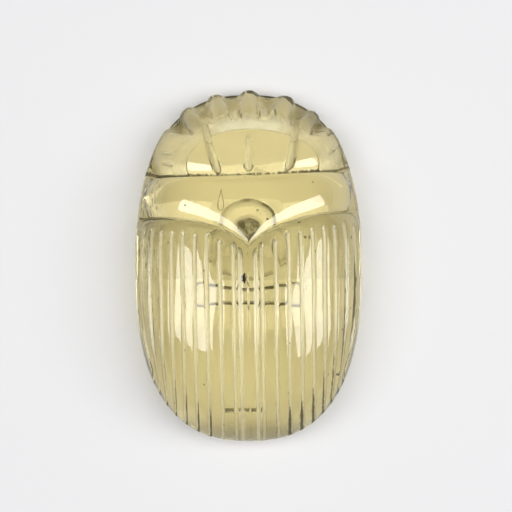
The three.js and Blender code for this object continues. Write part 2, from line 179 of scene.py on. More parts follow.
# The toothed shield fans out round the middle of the line behind the head.
# Angles are in degrees from straight ahead, to the right.
FAN_Y = HEAD_LINE
PLATE_LEFT = 0.188 * LENGTH
PLATE_RIGHT = 0.22 * LENGTH
PLATE_LENGTH = 0.124 * LENGTH
SHIELD_END = 75
DROP_ANGLE = 36.5
TEETH = [-66, -45, -24.5, 0, 28, 48.5, 64]
TOOTH_REACH = [0.2, 0.35, 0.45, MIDDLE_REACH, 0.45, 0.3, 0.25]
SCALLOP_INSET = [0.7, 1.15, 1.2, 1.05, 1.15, 0.7]
TOOTH_TIP = 0.06
SCALLOP_DEPTH = 0.75
SCALLOP_POWER = 1.8
HEAD_DROP = 2
HEAD_ROUND = 5
THORAX_INSET = 0.3
LINE_NOTCH = 0.3
LINE_NOTCH_SPREAD = 0.7
RIM_START = 0.82  # from this share outwards the skin follows the teeth and nicks


def fan_angle(x, y):
    return np.degrees(np.arctan2(x, y - FAN_Y))


def fan_edge(angle):
    across, along = np.sin(np.radians(angle)), np.cos(np.radians(angle))
    return reach_outline(np.zeros_like(across), FAN_Y, across, along, CAP_SHARE)


def plate_radius(x, y):
    """How far out a point is on the head, the edge of the smooth plate being 1."""
    return np.hypot(x / np.where(x < 0, PLATE_LEFT, PLATE_RIGHT), (y - FAN_Y) / PLATE_LENGTH)


def scallop(angle):
    """How much of a hollow is at an angle, how far the teeth reach and how far the hollow goes in."""
    i = np.clip(np.searchsorted(TEETH, angle, side="right") - 1, 0, len(TEETH) - 2)
    teeth, reaches = np.array(TEETH, float), np.array(TOOTH_REACH, float)
    along = (angle - teeth[i]) / (teeth[i + 1] - teeth[i])
    between = (along >= 0) & (along <= 1)
    hollow = np.sin(math.pi * np.clip((along - TOOTH_TIP) / (1 - 2 * TOOTH_TIP), 0, 1))
    hollow = np.where(between, np.maximum(hollow, 0) ** SCALLOP_POWER, 0)
    reach = lerp(reaches[i], reaches[i + 1], np.clip(along, 0, 1))
    last = np.where(angle < 0, abs(teeth[0]), teeth[-1])
    fade = 1 - smoothstep(abs(angle), last, 90)
    return hollow, reach * np.where(between, 1, fade), np.array(SCALLOP_INSET)[i]


def rim_offset(x, y, behind, ahead):
    """How far the rim stands out from the oval: teeth, a slimmer thorax, nicks at the lines."""
    hollow, reach, inset = scallop(fan_angle(x, y))
    thorax = smoothstep(-behind, 0, 1) * smoothstep(-ahead, 0, 1)
    notch = bell(behind, LINE_NOTCH_SPREAD) + bell(ahead, LINE_NOTCH_SPREAD)
    return np.where(ahead > 0, reach - inset * hollow, -THORAX_INSET * thorax - LINE_NOTCH * notch)


def rim_height(y):
    return lerp(RIM_HEIGHT, HEAD_RIM_HEIGHT, smoothstep(y, HEAD_LINE - 4, HEAD_LINE + 4))


# The lines across the body, and the soft steps down to them. How matt a cut is,
# and how much dirt and painted shade darken it, go from 0 to 1, here and below.
CASE_LINE_REACH = 0.26
CASE_LINE_DEPTH = 0.36
CASE_LINE_SHADE = 0.45
HEAD_LINE_REACH = 0.2
HEAD_LINE_DEPTH = 0.34
HEAD_LINE_SHADE = 0.6
LINE_MATT = 0.5
OVERHANG = 0.4  # the thorax hides the start of the head from above
CASE_STEP = 0.7
CASE_STEP_SPREAD = 1.3
THORAX_STEP = 0.6
THORAX_STEP_SPREAD = 1.2
COLLAR_WIDTH = 5.2
COLLAR_MIDDLE = 1.2
COLLAR_SPREAD = 4
COLLAR_SLOPE = 0.22


def line_cuts(behind, ahead):
    """How deep and matt the two lines across the body are, and how much painted shade darkens them."""
    case_cut = cut_profile(behind, CASE_LINE_REACH)
    head_cut = cut_profile(ahead, HEAD_LINE_REACH)
    depth = CASE_LINE_DEPTH * case_cut + HEAD_LINE_DEPTH * head_cut
    # painted shade: a dark line in each line's crease, the one at the head set back under the overhang of
    # the thorax
    case_shade = CASE_LINE_SHADE * cut_profile(behind, 0.15)
    head_shade = HEAD_LINE_SHADE * cut_profile(ahead - OVERHANG, 0.34)
    return np.stack([depth, LINE_MATT * (case_cut + head_cut), case_shade + head_shade])


def thorax_depth(x, behind, ahead):
    """The thorax slopes to the wing cases as a collar, and steps down to the head."""
    collar = lerp(COLLAR_WIDTH, COLLAR_MIDDLE, np.exp(-abs(x) / COLLAR_SPREAD))
    slope = COLLAR_SLOPE * collar * np.clip(1 + behind / collar, 0, 1) ** 2.5
    step = THORAX_STEP * np.exp(np.minimum(ahead, 0) / THORAX_STEP_SPREAD)
    return ((behind <= 0) & (ahead < 0)) * (slope + step)


# On the wing cases each cut starts a little behind the line, at its own place,
# and is cut by hand: it wanders and its depth varies. Painted shade darkens the
# outer grooves low on the flanks, on the wall that faces the middle.
GROOVE_START = 0.9
GROOVE_START_VARIES = 0.5
GROOVE_RUN_IN = 1.1
GROOVE_WANDER = 0.012
GROOVE_UNEVEN = 0.08
GROOVE_MATT = 0.65
GROOVE_SHADE_SHIFT = 0.12
LEFT_GROOVE_SHADE = (0, 9, 0.13, 0.1)  # how far back it starts and is full, its reach, how much it widens
RIGHT_GROOVE_SHADE = (-7, 3, 0.18, 0.22)


def case_cuts(x, y, u, behind):
    """How deep and matt the wing cases are, with their long cuts, and the painted shade in the outer
    grooves.
    """
    radius = oval_radius(x, y)
    on_cases = behind > 0
    depth = on_cases * CASE_STEP * np.exp(-np.maximum(behind, 0) / CASE_STEP_SPREAD)
    matt, dirt_and_shade = np.zeros_like(depth), np.zeros_like(depth)
    for cut, reach, cut_depth in long_cuts:
        start = GROOVE_START + GROOVE_START_VARIES * math.sin(7.7 * cut) ** 2
        run = on_cases * smoothstep(behind, start, start + GROOVE_RUN_IN)
        uneven = 1 + GROOVE_UNEVEN * np.sin(0.47 * y + 3.7 * cut)
        if cut == 0:
            profile = np.clip(1 - abs(u) / reach, 0, 1)
        else:
            distance = u - cut - GROOVE_WANDER * np.sin(0.31 * y + 2.3 * cut)
            profile = cut_profile(distance, reach)
            matt += GROOVE_MATT * run * smoothstep(profile, 0.2, 0.6)
            # painted shade along one wall of each outer groove, low on the flanks
            starts, full, shade_reach, widens = RIGHT_GROOVE_SHADE if cut > 0 else LEFT_GROOVE_SHADE
            low = smoothstep(abs(cut), 2, 6) * smoothstep(radius, 0.77, 0.93) * smoothstep(-y, starts, full)
            off_middle = distance + math.copysign(GROOVE_SHADE_SHIFT, cut)
            dirt_and_shade += run * low * cut_profile(off_middle, shade_reach + widens * low)
        depth += cut_depth * run * uneven * profile
    return np.stack([depth, matt, dirt_and_shade])


# Wheel cuts on the head, from their back ends forwards: three long drops with a
# round, deep end at the back, then the short strokes between the teeth and on
# the cheeks. A drop or a stroke is two points, in millimetres.
DROPS = [
    ((-4.6, 13.6), (-6.85, 22.0)),
    ((0, 13.9), (0, 19.25)),
    ((6.05, 14.0), (7.2, 22.75)),
]
DROP_DEPTH = 1
DROP_HALF_WIDTH = 0.8
DROP_TAPER = 0.6
DROP_FADE = 0.65
DROP_MATT = 0.3
DROP_END_SHADE = 0.62
STROKES = [
    ((-3.6, 23.3), (-2.5, 20.7)), ((-1.7, 23.3), (-1.0, 20.9)),
    ((1.3, 24.0), (1.6, 21.1)), ((3.6, 23.1), (3.8, 20.9)),
    ((-10.0, 20.4), (-8.2, 19.1)), ((9.2, 19.1), (9.9, 20.2)), ((11.3, 18.6), (12.0, 19.2)),
    ((-13.0, 16.2), (-11.3, 16.0)), ((-12.9, 14.8), (-11.4, 14.6)), ((11.6, 16.0), (12.8, 16.9)),
]
STROKE_DEPTH = 0.34
STROKE_HALF_WIDTH = 0.3
STROKE_MATT = 0.4
STROKE_SHADE = 0.55
STROKE_SHADE_SHIFT = 0.2
PLATE_STEP = 0.3
PLATE_STEP_SHADE = 0.6


def stroke_profile(x, y, start, end, half_width):
    dx, dy = end[0] - start[0], end[1] - start[1]
    t = ((x - start[0]) * dx + (y - start[1]) * dy) / (dx * dx + dy * dy)
    nearest = np.clip(t, 0, 1)
    distance = np.hypot(x - start[0] - nearest * dx, y - start[1] - nearest * dy)
    return cut_profile(distance, half_width) * np.sqrt(np.clip(4 * nearest * (1 - nearest), 0.05, 1))


def head_cuts(x, y, ahead):
    """How deep and matt the head is, with its painted shade: the step round its smooth plate, its flutes
    and cuts.
    """
    angle, plate = fan_angle(x, y), plate_radius(x, y)
    hollow = scallop(angle)[0]
    depth = PLATE_STEP * smoothstep(plate, 0.985, 1.02)
    depth += SCALLOP_DEPTH * hollow * smoothstep(plate, 1, 1.7)
    depth += HEAD_DROP * np.clip(1 - ahead / HEAD_ROUND, 0, 1) ** 3
    # the frosted band round the plate, most matt in the middle; there the material paints it chalky pale,
    # partly frosted stone and partly a painted highlight
    band = 1 - 0.7 * smoothstep(abs(angle), 30, 48)
    matt = band * smoothstep(plate, 1.0, 1.05) * (1 - smoothstep(plate, 1.15, 1.5))
    # painted shade along the step round the plate
    dirt_and_shade = PLATE_STEP_SHADE * cut_profile(plate - 1, 0.024)
    for start, end in DROPS:
        t = (y - start[1]) / (end[1] - start[1])
        middle = lerp(start[0], end[0], t)
        reach = DROP_HALF_WIDTH * lerp(1, DROP_TAPER, np.clip(t, 0, 1))
        distance = np.hypot(x - middle, np.minimum(y - start[1] - reach, 0))
        profile = cut_profile(distance, reach) * (1 - smoothstep(t, DROP_FADE, 1))
        depth += DROP_DEPTH * profile
        matt += DROP_MATT * smoothstep(profile, 0.1, 0.5)
        # painted shade round the deep back end of each drop
        dirt_and_shade += DROP_END_SHADE * cut_profile(distance - 0.8 * reach, 0.24) * (1 - smoothstep(t, 0.12, 0.3))
    for start, end in STROKES:
        profile = stroke_profile(x, y, start, end, STROKE_HALF_WIDTH)
        depth += STROKE_DEPTH * profile
        matt += STROKE_MATT * profile
        # painted shade along one wall of each stroke
        dirt_and_shade += STROKE_SHADE * stroke_profile(x - STROKE_SHADE_SHIFT, y, start, end, 0.2)
    return (ahead >= 0) * np.stack([depth, matt, dirt_and_shade])


# A dull film darkens the stone. Painted shade darkens it more at the flanks, the
# tail end, behind the front of the wing cases and in the flutes of the head, and
# painted light makes the tail lighter; a darker band lies on the thorax behind
# the head line. Painted shade darkens the tips of two teeth, and the left flank
# is weathered.
FILM_ON_CASES = 0.23
SHADE_AT_CASE_LINE = 0.18
FILM_ON_THORAX = 0.05
LIGHT_AT_TAIL = 0.2
SHADE_AT_SIDES = 0.46
SHADE_AT_TAIL_END = 0.85
DARK_BAND_ON_THORAX = 0.25
SHADE_IN_OUTER_FLUTES = 0.6
SHADE_IN_FLUTES = 0.3
TIP_SHADE_SPOTS = [((0.2, 24.35), (0.62, 0.3), 0), ((5.75, 23.45), (0.5, 0.4), 1.8)]  # place, half size, slant
TIP_SHADE = 2
FLANK_DIRT = 0.3


def film_shade_and_light(x, y, behind, ahead):
    """How much the stone's tint is darkened: a dull film with painted shade, and a painted lighter tail."""
    on_thorax = (behind <= 0) & (ahead < 0)
    # a dull film on the wing cases, with painted shade just behind their front line
    on_cases = FILM_ON_CASES + SHADE_AT_CASE_LINE * np.exp(-np.maximum(behind, 0) / 7)
    film_and_shade = (behind > 0) * on_cases + FILM_ON_THORAX * on_thorax
    # painted light: lighter towards the tail
    film_and_shade -= LIGHT_AT_TAIL * smoothstep(-y, 9, 16)
    # painted shade at the flanks, less on the right, and at the tail end
    film_and_shade += SHADE_AT_SIDES * smoothstep(abs(x), 8, 14.5) * (1 - 0.55 * smoothstep(x, 0, 5))
    film_and_shade += SHADE_AT_TAIL_END * smoothstep(-y, 21, 24)
    # a darker band on the thorax just behind the head line
    film_and_shade += on_thorax * DARK_BAND_ON_THORAX * bell(ahead + 0.9, 0.45) * (1 - smoothstep(abs(x), 3, 9))
    angle, plate = fan_angle(x, y), plate_radius(x, y)
    # painted shade in the flutes between the teeth, more in the outer ones
    outer_flutes = hump((angle + 50) / 18) + 1.5 * hump((angle - 50) / 20)
    on_head = SHADE_IN_OUTER_FLUTES * outer_flutes * smoothstep(plate, 1.15, 1.5)
    on_head += SHADE_IN_FLUTES * scallop(angle)[0] * smoothstep(plate, 1.3, 1.7)
    return film_and_shade + (ahead >= 0) * on_head


def wear_and_shade(x, y, ahead):
    """How dirty the weathered flank is, and the painted shade on the tips of two teeth."""
    dirt_and_shade = FLANK_DIRT * smoothstep(-x, 9.5, 14) * smoothstep(y, -14, 2) * (1 - smoothstep(ahead, -1, 2))
    # painted shade: dark spots on the tips of two teeth
    for (place_x, place_y), (half_x, half_y), slant in TIP_SHADE_SPOTS:
        across = x - place_x + slant * (y - place_y)
        dirt_and_shade += TIP_SHADE * np.maximum(0, 1 - np.hypot(across / half_x, (y - place_y) / half_y))
    return dirt_and_shade


def carving(x, y, u, behind, ahead):
    """How deep the carving goes below the smooth dome, how matt it is, and how much dirt, film and painted
    shade darken it.
    """
    depth, matt, dirt_and_shade = line_cuts(behind, ahead) + case_cuts(x, y, u, behind) + head_cuts(x, y, ahead)
    depth += thorax_depth(x, behind, ahead)
    dirt_and_shade += wear_and_shade(x, y, ahead)
    film_and_shade = film_shade_and_light(x, y, behind, ahead)
    fade = 1 - smoothstep(oval_radius(x, y), 0.985, 1)
    return depth * fade, np.clip(matt, 0, 1), np.clip(dirt_and_shade, 0, 1), np.clip(film_and_shade, 0, 1)


def skin(x, y, u, behind, ahead):
    """Points of the carved skin over plan points, each with how matt it is and how much dirt, film and
    painted shade darken it.
    """
    radius = np.minimum(oval_radius(x, y), 1)
    rim = rim_height(y)
    head = smoothstep(ahead, -0.2, 0.2)
    power = lerp(DOME_POWER, HEAD_DOME_POWER, head)
    rise = lerp(HEIGHT, HEAD_DOME_HEIGHT, head) - rim
    level = (1 - radius ** power) ** (1 / power)
    out_x, out_y = outward(x, y)
    slope = radius ** (power - 1) / half_width
    upright = level ** (power - 1) / rise
    size = np.hypot(slope, upright) + 1e-12
    depth, matt, dirt_and_shade, film_and_shade = carving(x, y, u, behind, ahead)
    offset = rim_offset(x, y, behind, ahead) * smoothstep(radius, RIM_START, 1) - depth * slope / size
    return np.stack([
        x + out_x * offset, y + out_y * offset, rim + rise * level - depth * upright / size,
        matt, dirt_and_shade, film_and_shade,
    ], axis=-1)


# The grid of the top. Columns are close together across each long cut, and rows
# are close at the two lines. Ahead of the head line the rows fan out over the
# plate and the shield.
CUT_STATIONS = (-1.25, -0.95, -0.65, -0.33, 0, 0.33, 0.65, 0.95, 1.25)
COLUMN_PITCH = 0.34
stations = [-half_width * CAP_SHARE, half_width * CAP_SHARE]
for cut, reach, _ in long_cuts:
    stations += [cut + reach * share for share in CUT_STATIONS]
stations.sort()
columns = [stations[0]]
for a, b in zip(stations, stations[1:]):
    steps = max(1, math.ceil((b - a) / COLUMN_PITCH - 0.01))
    columns += [lerp(a, b, (i + 1) / steps) for i in range(steps)]
columns = np.array(columns)
tail = base_centre - half_length * CAP_SHARE


def spread(stops, pitches):
    """Rows from stop to stop, each stretch at its own pitch."""
    rows = [stops[0]]
    for a, b, pitch in zip(stops, stops[1:], pitches):
        steps = max(1, round((b - a) / pitch))
        rows += [lerp(a, b, (i + 1) / steps) for i in range(steps)]
    return np.array(rows)


body_rows = spread(
    [tail, CASE_LINE - 2.4, CASE_LINE - 0.4, CASE_LINE + 0.4, HEAD_LINE - 0.4, HEAD_LINE],
    [0.26, 0.16, 0.08, 0.22, 0.08],
)
line_rows = np.array([0.07, 0.14, 0.2, 0.28])  # millimetres ahead of the head line
plate_rows = spread([0, 0.88, 1], [0.04, 0.03])[1:]
shield_rows = spread([0, 0.12, 1], [0.024, 0.034])[1:]

share_across = np.linspace(-1, 1, len(columns))
head_angles = SHIELD_END * share_across
edge_share = width_share(HEAD_LINE)
head_us = np.interp(
    head_angles,
    [-SHIELD_END, -DROP_ANGLE, 0, DROP_ANGLE, SHIELD_END],
    [columns[0], DROPS[0][0][0] / edge_share, 0, DROPS[2][0][0] / edge_share, columns[-1]],
)
towards_head = smoothstep(body_rows, CASE_LINE + 0.3, HEAD_LINE)[:, None]
plan_x, plan_y = body_plan(lerp(columns[None, :], head_us[None, :], towards_head), body_rows[:, None])

# the edge of the plate is found along each ray, and made a little smoother
FIRST_TRY = 0.18
TRY_STEP = 0.002
start_x, start_y = body_plan(head_us, np.full_like(head_us, HEAD_LINE))
end_x, end_y = fan_edge(head_angles)
plate_edge = np.full_like(head_us, FIRST_TRY)
for t in np.arange(FIRST_TRY, 1, TRY_STEP):
    inside = plate_radius(lerp(start_x, end_x, t), lerp(start_y, end_y, t)) < 1
    plate_edge = np.where(inside, t, plate_edge)
plate_edge = np.convolve(np.pad(plate_edge, 3, mode="edge"), np.ones(7) / 7, mode="valid")
line_share = line_rows[:, None] / (end_y - start_y)
ways = np.concatenate([
    line_share,
    lerp(line_share[-1], plate_edge, plate_rows[:, None]),
    lerp(plate_edge, 1, shield_rows[:, None]),
])
head_x, head_y = lerp(start_x, end_x, ways), lerp(start_y, end_y, ways)
for j in (0, -1):
    first_angle = fan_angle(start_x[j], start_y[j])
    head_x[:, j], head_y[:, j] = fan_edge(lerp(first_angle, head_angles[j], ways[:, j]))
plan_x, plan_y = np.concatenate([plan_x, head_x]), np.concatenate([plan_y, head_y])
plan_u = np.broadcast_to(columns, plan_x.shape)
behind, ahead = case_line(plan_x) - plan_y, plan_y - head_line(plan_x)

# each point has its place, how matt it is, its dirt and painted shade, and its film and painted shade
row_count, column_count = plan_x.shape
points = [skin(plan_x, plan_y, plan_u, behind, ahead).reshape(-1, 6)]
index = np.arange(row_count * column_count).reshape(row_count, column_count)
faces = np.stack([index[:-1, :-1], index[:-1, 1:], index[1:, 1:], index[1:, :-1]], axis=-1)
faces = [faces.reshape(-1, 4)]


def around(grid):
    """The values of a grid along its edge, once round."""
    return np.concatenate([grid[0], grid[1:-1, -1], grid[-1, ::-1], grid[1:-1, 0][::-1]])


def add_ring(ring):
    """Puts a ring of points after those there are, and gives their numbers."""
    first = sum(len(group) for group in points)
    points.append(ring)
    return np.arange(first, first + len(ring))


def join(ring, following):
    faces.append(np.stack([ring, following, np.roll(following, -1), np.roll(ring, -1)], axis=-1))


# The flank goes on down the dome to the rim, in under it to the neck, where the
# folded legs are left standing, and out again over the edge of the base. A leg
# runs back between two shares of the length, and down the neck as it goes.
LEGS = [(0.3, 0.14), (0.07, -0.11), (-0.15, -0.37)]
LEG_TOP = 0.75
LEG_FOOT = 0.3
LEG_HALF_WIDTH = 0.3
LEG_RELIEF = 0.7
FLANK_RINGS = 7
NECK_MATT = 0.1
NECK_RINGS = [  # height from the base to the rim, inset, how much of the teeth is followed
    (0.95, 0.1, 1), (0.88, 0.3, 1), (0.8, 0.6, 0.85), (0.7, 0.82, 0.65), (0.6, 0.93, 0.5),
    (0.5, 0.97, 0.3), (0.4, 0.98, 0.15), (0.3, 0.97, 0), (0.2, 0.95, 0), (0.1, 0.9, 0), (0.03, 0.78, 0),
]
BASE_RINGS = [  # height, inset, the painted shade under the head
    (BASE_THICKNESS, 0.6, 0), (BASE_THICKNESS, 0.35, 0), (BASE_THICKNESS - 0.02, 0.24, 0.6),
    (BASE_THICKNESS - 0.08, 0.12, 0.9), (BASE_THICKNESS - 0.3, 0, 0.9), (1.3, 0, 0), (0.3, 0, 0),
    (0.08, 0.1, 0), (0, 0.3, 0),
]
edge_x, edge_y, edge_u = around(plan_x), around(plan_y), around(plan_u)
edge_behind, edge_ahead = around(behind), around(ahead)


def leg_at(y, height):
    relief = np.zeros_like(y)
    for start, end in LEGS:
        along = (y / LENGTH - start) / (end - start)
        inside = smoothstep(along, -0.05, 0.08) * (1 - smoothstep(along, 0.92, 1.05))
        leg = inside * hump((height - lerp(LEG_TOP, LEG_FOOT, along)) / LEG_HALF_WIDTH)
        relief = np.maximum(relief, leg)
    return relief


def on_share(share):
    """Beyond the edge: along the flutes, out at the sides, along the grooves at the tail."""
    across = edge_x * (1 - smoothstep(-edge_y, *TAIL_TURN))
    along = edge_y - np.clip(edge_y, -TAIL_TURN[0], HEAD_LINE)
    size = np.hypot(across, along)
    return reach_outline(edge_x, edge_y, across / size, along / size, share)


def flank_ring(share):
    return skin(*on_share(share), edge_u, edge_behind, edge_ahead)


def neck_ring(height, inset, follow):
    """A ring between the base, where height is 0, and the rim, where it is 1."""
    x, y = on_share(1)
    out_x, out_y = outward(x, y)
    offset = follow * rim_offset(x, y, edge_behind, edge_ahead) - inset + LEG_RELIEF * leg_at(y, height)
    z = lerp(BASE_THICKNESS, rim_height(y), height)
    zero = np.zeros_like(x)
    return np.stack([
        x + out_x * offset, y + out_y * offset, z,
        zero + NECK_MATT, zero, zero + NECK_MATT,
    ], axis=-1)


def base_ring(z, inset, grime_and_shade):
    x, y = on_share(1)
    out_x, out_y = outward(x, y)
    zero = np.zeros_like(x)
    # painted shade on the base under the overhang of the head
    dirt_and_shade = grime_and_shade * smoothstep(y, HEAD_LINE, HEAD_LINE + 3)
    return np.stack([x - out_x * inset, y - out_y * inset, zero + z, zero, dirt_and_shade, zero], axis=-1)


flank_turns = [math.pi / 2 * i / FLANK_RINGS for i in range(1, FLANK_RINGS + 1)]
rings = [flank_ring(lerp(CAP_SHARE, 1, math.sin(turn))) for turn in flank_turns]
rings += [neck_ring(*ring) for ring in NECK_RINGS]
rings += [base_ring(*ring) for ring in BASE_RINGS]
previous = around(index)
for ring in rings:
    following = add_ring(ring)
    join(previous, following)
    previous = following

# The underside is flat, with an oval dish that has a deeper hole in it, a
# waisted channel and a short slot, all ground into the stone. Old dirt is left
# along their edges.
SOCKET_HALF_WIDTH = 4.2
SOCKET_HALF_LENGTH = 5
SOCKET_SHRINK = 1.19  # the length goes in by so much more, and the oval keeps its proportions
SOCKET_Y = 3.05
DISH_DEPTH = 0.6
DISH_INSETS = (0.5, 0.8, 1.1, 1.5, 1.85)
DIRTY_HOLE_RADIUS = 2.5
CHANNEL_HALF_LENGTH = 5.75
CHANNEL_HALF_WIDTH = 1
CHANNEL_FLARE = 0.9
CHANNEL_Y = -3.8
CHANNEL_DIRT_END = 5.5
SLOT_HALF_LENGTH = 2.8
SLOT_HALF_WIDTH = 0.22
SLOT_X = -0.5
SLOT_Y = -17.8
SLOT_DIRT_END = 2.6
bottom = [previous]
caps = []


def sink(outline, levels, dirt_share):
    """A hollow: its outline at an inset, a height, how matt and how dirty, level by level."""
    level_rings = []
    for inset, z, matt, dirt_and_shade in levels:
        x, y = outline(inset)
        patches = 0.75 + 0.25 * np.sin(2.1 * x + 1.3 * y + 0.7) * np.sin(1.1 * x - 0.6)
        patches = patches * dirt_share(x, y)
        zero = np.zeros_like(x)
        ring = np.stack([x, y, zero + z, zero + matt, dirt_and_shade * patches, zero + matt], axis=-1)
        level_rings.append(add_ring(ring))
    for ring, following in zip(level_rings, level_rings[1:]):
        join(ring, following)
    bottom.append(level_rings[0])
    caps.append(level_rings[-1][::-1])


def socket_outline(inset):
    turn = np.linspace(0, 2 * math.pi, 160, endpoint=False)
    x = (SOCKET_HALF_WIDTH - inset) * np.cos(turn)
    return x, SOCKET_Y + (SOCKET_HALF_LENGTH - inset * SOCKET_SHRINK) * np.sin(turn)


def channel_outline(inset):
    across = np.linspace(-1, 1, 61)
    bow = CHANNEL_HALF_WIDTH + CHANNEL_FLARE * across ** 2 - inset
    x = (CHANNEL_HALF_LENGTH - inset) * across
    return np.concatenate([x, x[::-1]]), CHANNEL_Y + np.concatenate([-bow, bow[::-1]])


def slot_outline(inset):
    across = np.linspace(-1, 1, 21) * (SLOT_HALF_LENGTH - inset)
    wide = np.full_like(across, SLOT_HALF_WIDTH - inset)
    return np.concatenate([across, across[::-1]]) + SLOT_X, SLOT_Y + np.concatenate([-wide, wide])


def socket_dirt(x, y):
    in_hole = np.hypot(x, y - SOCKET_Y) < DIRTY_HOLE_RADIUS
    return np.where(in_hole, 1, 0.4 + 0.6 * smoothstep(y, 1, 5))


def channel_dirt(x, y):
    return abs(x) < CHANNEL_DIRT_END


def slot_dirt(x, y):
    return (abs(x - SLOT_X) < SLOT_DIRT_END) * (0.8 + 0.2 * np.sin(4 * x))


# a level is an inset, a height, how matt and how dirty; a hole level is an inset and a height
dish = [(0, 0, 0.2, 0), (0.04, 0.06, 0.3, 0.42), (0.22, 0.16, 0.3, 0.42), (0.42, 0.25, 0.1, 0)]
for inset in DISH_INSETS:
    dish.append((inset, DISH_DEPTH * math.sqrt(1 - (1 - inset / SOCKET_HALF_WIDTH) ** 2), 0, 0))
hole = [
    (1.95, 0.6), (1.97, 1.1), (2.02, 1.8), (2.15, 2.4), (2.4, 2.72), (2.85, 2.9), (3.4, 2.98), (3.9, 3),
]
channel = [
    (0, 0, 0, 0), (0.02, 0.08, 0.5, 0.8), (0.05, 0.4, 0.5, 0.8), (0.16, 0.56, 0.5, 0.75),
    (0.34, 0.6, 0.5, 0.65), (0.46, 0.6, 0, 0),
]
slot = [(0, 0, 0, 0), (0.02, 0.1, 0.3, 0.5), (0.06, 0.5, 0.3, 0.5), (0.14, 0.6, 0.3, 0.5)]
sink(socket_outline, dish + [(inset, z, 0.9, 0.6) for inset, z in hole], socket_dirt)
sink(channel_outline, channel, channel_dirt)
sink(slot_outline, slot, slot_dirt)

points = np.concatenate(points)
polygons = np.concatenate(faces).tolist() + [cap.tolist() for cap in caps]
flat_order = np.concatenate(bottom)
for a, b, c in tessellate_polygon([[Vector(points[i, :3]) for i in ring] for ring in bottom]):
    a, b, c = (int(flat_order[i]) for i in (a, b, c))
    (ax, ay), (bx, by), (cx, cy) = points[[a, b, c], :2]
    facing_down = (bx - ax) * (cy - ay) - (by - ay) * (cx - ax) < 0
    polygons.append((a, b, c) if facing_down else (a, c, b))

mesh = bpy.data.meshes.new("carved_stone")
mesh.from_pydata((points[:, :3] * MM).tolist(), [], polygons)
for i, name in ((3, "matt"), (4, "dirt_and_shade"), (5, "film_and_shade")):
    values = points[:, i].astype(np.float32)
    mesh.attributes.new(name, "FLOAT", "POINT").data.foreach_set("value", values)
stone = bpy.data.objects.new("carved_stone", mesh)
bpy.context.scene.collection.objects.link(stone)
for polygon in mesh.polygons:
    polygon.use_smooth = True
mesh.set_sharp_from_angle(angle=math.radians(38))


class Wire:
    """A socket of a material that can be reckoned with."""

    def __init__(self, tree, socket=None):
        self.tree = tree
        self.socket = socket

    def node(self, kind, settings=None, values=None, output=0):
        made = self.tree.nodes.new(kind)
        for name, value in (settings or {}).items():
            setattr(made, name, value)
        for name, value in (values or {}).items():
            if isinstance(value, Wire):
                self.tree.links.new(value.socket, made.inputs[name])
            else:
                made.inputs[name].default_value = value
        return Wire(self.tree, made.outputs[output])

    def maths(self, operation, first, second):
        return self.node("ShaderNodeMath", {"operation": operation}, {0: first, 1: second})

    def __add__(self, other):
        return self.maths("ADD", self, other)

    __radd__ = __add__

    def __mul__(self, other):
        return self.maths("MULTIPLY", self, other)

    __rmul__ = __mul__

    def __sub__(self, other):
        return self.maths("SUBTRACT", self, other)

    def __rsub__(self, other):
        return self.maths("SUBTRACT", other, self)


# the colour sockets of a Mix node, by number, because its sockets share their names
FIRST_COLOUR, SECOND_COLOUR, MIXED_COLOUR = 6, 7, 2
STONE_REFRACTION = 1.54
STONE_TINT = (0.96, 0.9, 0.7, 1)
FILM_AND_SHADE_TINT = (0.25, 0.22, 0.12, 1)
GROUND_TINT = (1, 0.96, 0.76, 1)
CHALK_AND_HIGHLIGHT_TINT = (1, 0.95, 0.62, 1)
GRIME_AND_SHADE_TINT = (0.13, 0.11, 0.05, 1)
DEPTH_TINT = (1, 0.9, 0, 1)
DEPTH_DENSITY = 11.5
PIT_REACH = 0.06

material = bpy.data.materials.new("clear_stone")
material.use_nodes = True
tree = material.node_tree
tree.nodes.clear()
wire = Wire(tree)


def carved(name):
    return wire.node("ShaderNodeAttribute", {"attribute_name": name}, output="Fac")


def noise(place, scale, detail):
    return wire.node("ShaderNodeTexNoise", values={"Vector": place, "Scale": scale, "Detail": detail})


def clamped(value, gain):
    return wire.node("ShaderNodeMath", {"operation": "MULTIPLY", "use_clamp": True}, {0: value, 1: gain})


def layered(amount, below, above):
    return wire.node("ShaderNodeMixShader", values={0: amount, 1: below, 2: above})


place = wire.node("ShaderNodeTexCoord", output="Object")
matt, dirt_and_shade, film_and_shade = carved("matt"), carved("dirt_and_shade"), carved("film_and_shade")
grain = noise(place, 1400, 3)
streaks = noise(place, 300, 4)
drawn_out = wire.node("ShaderNodeVectorMath", {"operation": "MULTIPLY"}, {0: place, 1: (1, 0.3, 1)})
specks = noise(drawn_out, 2600, 2)
pits = wire.node("ShaderNodeTexVoronoi", values={"Vector": place, "Scale": 340})
bump = wire.node("ShaderNodeBump", values={"Height": grain * matt, "Distance": 0.04 * MM, "Strength": 0.6})
# the tint darkens with the dull film and with the painted shade and light it carries
tint = wire.node("ShaderNodeMix", {"data_type": "RGBA"}, {
    0: film_and_shade * (0.7 + streaks * 0.6), FIRST_COLOUR: STONE_TINT, SECOND_COLOUR: FILM_AND_SHADE_TINT,
}, output=MIXED_COLOUR)
polished = wire.node("ShaderNodeBsdfPrincipled", values={
    "Base Color": tint,
    "Roughness": 0.015 + streaks * 0.02,
    "IOR": STONE_REFRACTION,
    "Transmission Weight": 1.0,
})
ground = wire.node("ShaderNodeBsdfPrincipled", values={
    "Base Color": GROUND_TINT,
    "Roughness": 0.32 + grain * 0.2,
    "IOR": STONE_REFRACTION,
    "Transmission Weight": 0.75,
    "Normal": bump,
})
chalk_and_highlight = wire.node("ShaderNodeBsdfPrincipled", values={
    "Base Color": CHALK_AND_HIGHLIGHT_TINT,
    "Roughness": 0.5 + grain * 0.2,
})
